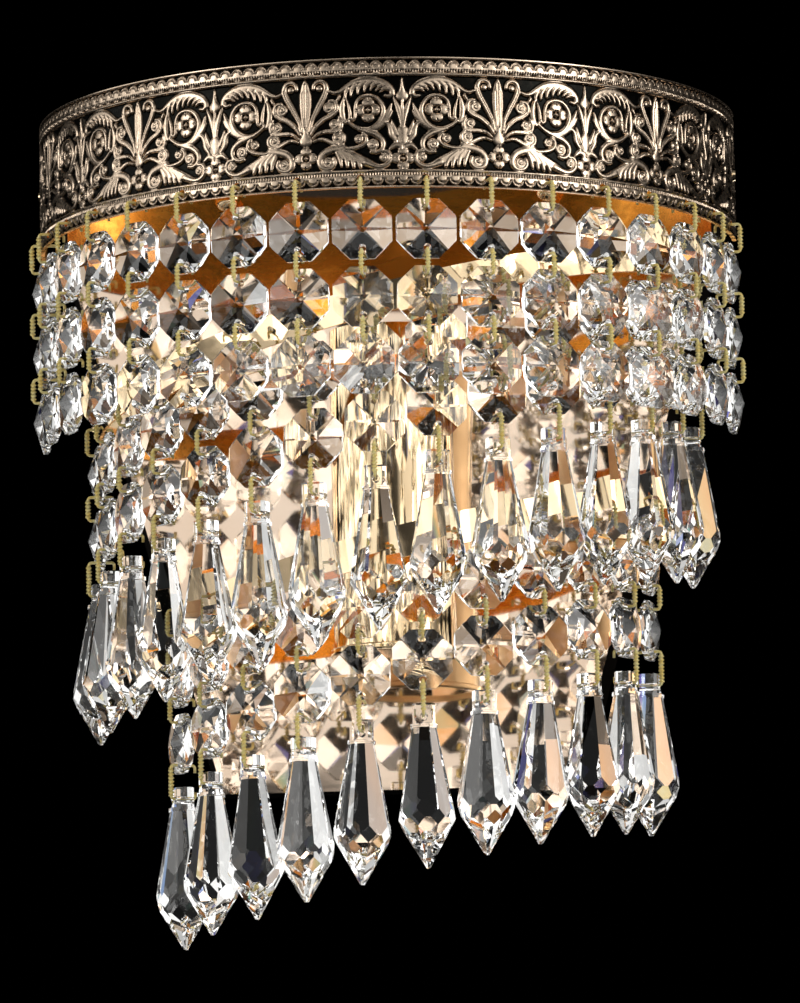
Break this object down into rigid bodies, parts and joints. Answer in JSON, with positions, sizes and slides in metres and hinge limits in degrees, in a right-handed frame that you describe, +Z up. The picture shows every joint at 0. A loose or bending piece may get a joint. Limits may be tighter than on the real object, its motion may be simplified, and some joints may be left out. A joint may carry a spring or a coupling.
{
  "type": "crystal wall sconce",
  "caption": "Half-round stamped band over two tilted plain bands, hung with strings of octagon beads and drop pendants on a polished wall plate with one lamp.",
  "frame": {"origin": "centre of the wall bracket's screw pattern, in the plane of the wall", "axes": "+Z up, +Y into the wall, the sconce stands out towards -Y, +X to the viewer's right"},
  "size_m": [0.2296, 0.1287, 0.2701],
  "materials": {
    "rose_mirror": "mirror polished",
    "gold_polish": "polished",
    "antique_relief": "stamped relief, darkened ground, rubbed high points",
    "zinc_steel": "zinc plated",
    "holder_plastic": "matte",
    "block_plastic": "matte",
    "lead_insulation": "smooth",
    "crystal": "clear, faceted, on brass wire clips"
  },
  "bodies": {
    "sconce_frame": {"arm_nuts": "gold_polish", "back_plate": "rose_mirror", "band_lugs": "gold_polish", "bracket_screws": "zinc_steel", "cap_nuts": "gold_polish", "lamp_arm": "gold_polish", "lamp_leads": "lead_insulation", "lamp_sleeve": "gold_polish", "lampholder": "holder_plastic", "lower_band": "gold_polish", "lug_bolts": "zinc_steel", "lug_rivets": "gold_polish", "middle_band": "gold_polish", "sleeve_discs": "gold_polish", "terminal_block": "block_plastic", "top_band": "antique_relief", "wall_bracket": "zinc_steel"},
    "top_string_01": {"top_string_01": "crystal"},
    "top_string_02": {"top_string_02": "crystal"},
    "top_string_03": {"top_string_03": "crystal"},
    "top_string_04": {"top_string_04": "crystal"},
    "top_string_05": {"top_string_05": "crystal"},
    "top_string_06": {"top_string_06": "crystal"},
    "top_string_07": {"top_string_07": "crystal"},
    "top_string_08": {"top_string_08": "crystal"},
    "top_string_09": {"top_string_09": "crystal"},
    "top_string_10": {"top_string_10": "crystal"},
    "top_string_11": {"top_string_11": "crystal"},
    "top_string_12": {"top_string_12": "crystal"},
    "top_string_13": {"top_string_13": "crystal"},
    "top_string_14": {"top_string_14": "crystal"},
    "top_string_15": {"top_string_15": "crystal"},
    "top_string_16": {"top_string_16": "crystal"},
    "top_string_17": {"top_string_17": "crystal"},
    "middle_string_01": {"middle_string_01": "crystal"},
    "middle_string_02": {"middle_string_02": "crystal"},
    "middle_string_03": {"middle_string_03": "crystal"},
    "middle_string_04": {"middle_string_04": "crystal"},
    "middle_string_05": {"middle_string_05": "crystal"},
    "middle_string_06": {"middle_string_06": "crystal"},
    "middle_string_07": {"middle_string_07": "crystal"},
    "middle_string_08": {"middle_string_08": "crystal"},
    "middle_string_09": {"middle_string_09": "crystal"},
    "middle_string_10": {"middle_string_10": "crystal"},
    "middle_string_11": {"middle_string_11": "crystal"},
    "middle_string_12": {"middle_string_12": "crystal"},
    "middle_string_13": {"middle_string_13": "crystal"},
    "middle_string_14": {"middle_string_14": "crystal"},
    "middle_string_15": {"middle_string_15": "crystal"},
    "lower_string_01": {"lower_string_01": "crystal"},
    "lower_string_02": {"lower_string_02": "crystal"},
    "lower_string_03": {"lower_string_03": "crystal"},
    "lower_string_04": {"lower_string_04": "crystal"},
    "lower_string_05": {"lower_string_05": "crystal"},
    "lower_string_06": {"lower_string_06": "crystal"},
    "lower_string_07": {"lower_string_07": "crystal"},
    "lower_string_08": {"lower_string_08": "crystal"},
    "lower_string_09": {"lower_string_09": "crystal"},
    "lower_string_10": {"lower_string_10": "crystal"},
    "lower_string_11": {"lower_string_11": "crystal"}
  },
  "joints": [
    {"name": "top_string_01_swing", "type": "hinge", "parent": "sconce_frame", "child": "top_string_01", "pos_m": [-0.11045, -0.02864, -0.0152], "axis": [-0.1402, 0.9901, 0], "range_deg": [-3.5, 25]},
    {"name": "top_string_02_swing", "type": "hinge", "parent": "sconce_frame", "child": "top_string_02", "pos_m": [-0.10588, -0.04811, -0.0152], "axis": [-0.3147, 0.9492, 0], "range_deg": [-3.5, 25]},
    {"name": "top_string_03_swing", "type": "hinge", "parent": "sconce_frame", "child": "top_string_03", "pos_m": [-0.09791, -0.06644, -0.0152], "axis": [-0.4791, 0.8778, 0], "range_deg": [-3.5, 25]},
    {"name": "top_string_04_swing", "type": "hinge", "parent": "sconce_frame", "child": "top_string_04", "pos_m": [-0.0868, -0.08306, -0.0152], "axis": [-0.6281, 0.7781, 0], "range_deg": [-3.5, 25]},
    {"name": "top_string_05_swing", "type": "hinge", "parent": "sconce_frame", "child": "top_string_05", "pos_m": [-0.0729, -0.09743, -0.0152], "axis": [-0.7569, 0.6535, 0], "range_deg": [-3.5, 25]},
    {"name": "top_string_06_swing", "type": "hinge", "parent": "sconce_frame", "child": "top_string_06", "pos_m": [-0.05666, -0.10909, -0.0152], "axis": [-0.8614, 0.5079, 0], "range_deg": [-3.5, 25]},
    {"name": "top_string_07_swing", "type": "hinge", "parent": "sconce_frame", "child": "top_string_07", "pos_m": [-0.0386, -0.11766, -0.0152], "axis": [-0.9382, 0.346, 0], "range_deg": [-3.5, 25]},
    {"name": "top_string_08_swing", "type": "hinge", "parent": "sconce_frame", "child": "top_string_08", "pos_m": [-0.01929, -0.12287, -0.0152], "axis": [-0.9849, 0.173, 0], "range_deg": [-3.5, 25]},
    {"name": "top_string_09_swing", "type": "hinge", "parent": "sconce_frame", "child": "top_string_09", "pos_m": [0.00063, -0.12455, -0.0152], "axis": [-1, -0.0056, 0], "range_deg": [-3.5, 25]},
    {"name": "top_string_10_swing", "type": "hinge", "parent": "sconce_frame", "child": "top_string_10", "pos_m": [0.02053, -0.12264, -0.0152], "axis": [-0.9829, -0.184, 0], "range_deg": [-3.5, 25]},
    {"name": "top_string_11_swing", "type": "hinge", "parent": "sconce_frame", "child": "top_string_11", "pos_m": [0.03977, -0.11722, -0.0152], "axis": [-0.9343, -0.3565, 0], "range_deg": [-3.5, 25]},
    {"name": "top_string_12_swing", "type": "hinge", "parent": "sconce_frame", "child": "top_string_12", "pos_m": [0.05774, -0.10845, -0.0152], "axis": [-0.8556, -0.5176, 0], "range_deg": [-3.5, 25]},
    {"name": "top_string_13_swing", "type": "hinge", "parent": "sconce_frame", "child": "top_string_13", "pos_m": [0.07385, -0.09661, -0.0152], "axis": [-0.7495, -0.662, 0], "range_deg": [-3.5, 25]},
    {"name": "top_string_14_swing", "type": "hinge", "parent": "sconce_frame", "child": "top_string_14", "pos_m": [0.08758, -0.08208, -0.0152], "axis": [-0.6193, -0.7852, 0], "range_deg": [-3.5, 25]},
    {"name": "top_string_15_swing", "type": "hinge", "parent": "sconce_frame", "child": "top_string_15", "pos_m": [0.09851, -0.06534, -0.0152], "axis": [-0.4692, -0.8831, 0], "range_deg": [-3.5, 25]},
    {"name": "top_string_16_swing", "type": "hinge", "parent": "sconce_frame", "child": "top_string_16", "pos_m": [0.10627, -0.04692, -0.0152], "axis": [-0.304, -0.9527, 0], "range_deg": [-3.5, 25]},
    {"name": "top_string_17_swing", "type": "hinge", "parent": "sconce_frame", "child": "top_string_17", "pos_m": [0.11062, -0.0274, -0.0152], "axis": [-0.1291, -0.9916, 0], "range_deg": [-3.5, 25]},
    {"name": "middle_string_01_swing", "type": "hinge", "parent": "sconce_frame", "child": "middle_string_01", "pos_m": [-0.09321, -0.02913, -0.07592], "axis": [-0.1674, 0.9859, 0], "range_deg": [-3, 19]},
    {"name": "middle_string_02_swing", "type": "hinge", "parent": "sconce_frame", "child": "middle_string_02", "pos_m": [-0.08813, -0.0484, -0.07471], "axis": [-0.3663, 0.9305, 0], "range_deg": [-3, 20]},
    {"name": "middle_string_03_swing", "type": "hinge", "parent": "sconce_frame", "child": "middle_string_03", "pos_m": [-0.07939, -0.06623, -0.07263], "axis": [-0.5483, 0.8363, 0], "range_deg": [-3, 20]},
    {"name": "middle_string_04_swing", "type": "hinge", "parent": "sconce_frame", "child": "middle_string_04", "pos_m": [-0.06735, -0.0819, -0.06976], "axis": [-0.7058, 0.7084, 0], "range_deg": [-2.5, 20]},
    {"name": "middle_string_05_swing", "type": "hinge", "parent": "sconce_frame", "child": "middle_string_05", "pos_m": [-0.0525, -0.09476, -0.06622], "axis": [-0.833, 0.5533, 0], "range_deg": [-2.5, 20]},
    {"name": "middle_string_06_swing", "type": "hinge", "parent": "sconce_frame", "child": "middle_string_06", "pos_m": [-0.03544, -0.1043, -0.06215], "axis": [-0.9259, 0.3777, 0], "range_deg": [-1.5, 19]},
    {"name": "middle_string_07_swing", "type": "hinge", "parent": "sconce_frame", "child": "middle_string_07", "pos_m": [-0.01686, -0.11012, -0.05773], "axis": [-0.982, 0.1887, 0], "range_deg": [-1.5, 14]},
    {"name": "middle_string_08_swing", "type": "hinge", "parent": "sconce_frame", "child": "middle_string_08", "pos_m": [0.00248, -0.112, -0.05312], "axis": [-1, -0.0068, 0], "range_deg": [-1.5, 10]},
    {"name": "middle_string_09_swing", "type": "hinge", "parent": "sconce_frame", "child": "middle_string_09", "pos_m": [0.02179, -0.10985, -0.04852], "axis": [-0.9794, -0.2021, 0], "range_deg": [-1.5, 9.5]},
    {"name": "middle_string_10_swing", "type": "hinge", "parent": "sconce_frame", "child": "middle_string_10", "pos_m": [0.04028, -0.10376, -0.04412], "axis": [-0.9207, -0.3903, 0], "range_deg": [-1.5, 10]},
    {"name": "middle_string_11_swing", "type": "hinge", "parent": "sconce_frame", "child": "middle_string_11", "pos_m": [0.05721, -0.09397, -0.04008], "axis": [-0.8253, -0.5647, 0], "range_deg": [-0.5, 10]},
    {"name": "middle_string_12_swing", "type": "hinge", "parent": "sconce_frame", "child": "middle_string_12", "pos_m": [0.07189, -0.0809, -0.03659], "axis": [-0.6958, -0.7182, 0], "range_deg": [-1.5, 9.5]},
    {"name": "middle_string_13_swing", "type": "hinge", "parent": "sconce_frame", "child": "middle_string_13", "pos_m": [0.08372, -0.06506, -0.03377], "axis": [-0.5364, -0.844, 0], "range_deg": [-1.5, 8]},
    {"name": "middle_string_14_swing", "type": "hinge", "parent": "sconce_frame", "child": "middle_string_14", "pos_m": [0.09221, -0.04711, -0.03174], "axis": [-0.353, -0.9356, 0], "range_deg": [-1.5, 7]},
    {"name": "middle_string_15_swing", "type": "hinge", "parent": "sconce_frame", "child": "middle_string_15", "pos_m": [0.09703, -0.02777, -0.0306], "axis": [-0.1533, -0.9882, 0], "range_deg": [-0.5, 6]},
    {"name": "lower_string_01_swing", "type": "hinge", "parent": "sconce_frame", "child": "lower_string_01", "pos_m": [-0.0658, -0.04962, -0.14468], "axis": [-0.4588, 0.8885, 0], "range_deg": [-3.5, 20]},
    {"name": "lower_string_02_swing", "type": "hinge", "parent": "sconce_frame", "child": "lower_string_02", "pos_m": [-0.05502, -0.06619, -0.14217], "axis": [-0.6625, 0.7491, 0], "range_deg": [-3, 20]},
    {"name": "lower_string_03_swing", "type": "hinge", "parent": "sconce_frame", "child": "lower_string_03", "pos_m": [-0.04065, -0.07959, -0.13883], "axis": [-0.8241, 0.5665, 0], "range_deg": [-2, 20]},
    {"name": "lower_string_04_swing", "type": "hinge", "parent": "sconce_frame", "child": "lower_string_04", "pos_m": [-0.02354, -0.089, -0.13485], "axis": [-0.9357, 0.3529, 0], "range_deg": [-1.5, 20]},
    {"name": "lower_string_05_swing", "type": "hinge", "parent": "sconce_frame", "child": "lower_string_05", "pos_m": [-0.00472, -0.09387, -0.13047], "axis": [-0.9927, 0.1208, 0], "range_deg": [-1.5, 20]},
    {"name": "lower_string_06_swing", "type": "hinge", "parent": "sconce_frame", "child": "lower_string_06", "pos_m": [0.01469, -0.09391, -0.12595], "axis": [-0.9931, -0.1174, 0], "range_deg": [-1.5, 20]},
    {"name": "lower_string_07_swing", "type": "hinge", "parent": "sconce_frame", "child": "lower_string_07", "pos_m": [0.03352, -0.0891, -0.12157], "axis": [-0.9369, -0.3496, 0], "range_deg": [-1.5, 19]},
    {"name": "lower_string_08_swing", "type": "hinge", "parent": "sconce_frame", "child": "lower_string_08", "pos_m": [0.05066, -0.07975, -0.11758], "axis": [-0.8261, -0.5636, 0], "range_deg": [-2, 17]},
    {"name": "lower_string_09_swing", "type": "hinge", "parent": "sconce_frame", "child": "lower_string_09", "pos_m": [0.06508, -0.06641, -0.11423], "axis": [-0.6652, -0.7467, 0], "range_deg": [-2.5, 18]},
    {"name": "lower_string_10_swing", "type": "hinge", "parent": "sconce_frame", "child": "lower_string_10", "pos_m": [0.07591, -0.04987, -0.1117], "axis": [-0.462, -0.8869, 0], "range_deg": [-3.5, 20]},
    {"name": "lower_string_11_swing", "type": "hinge", "parent": "sconce_frame", "child": "lower_string_11", "pos_m": [0.08251, -0.03113, -0.11017], "axis": [-0.2282, -0.9736, 0], "range_deg": [-3.5, 18]}
  ]
}
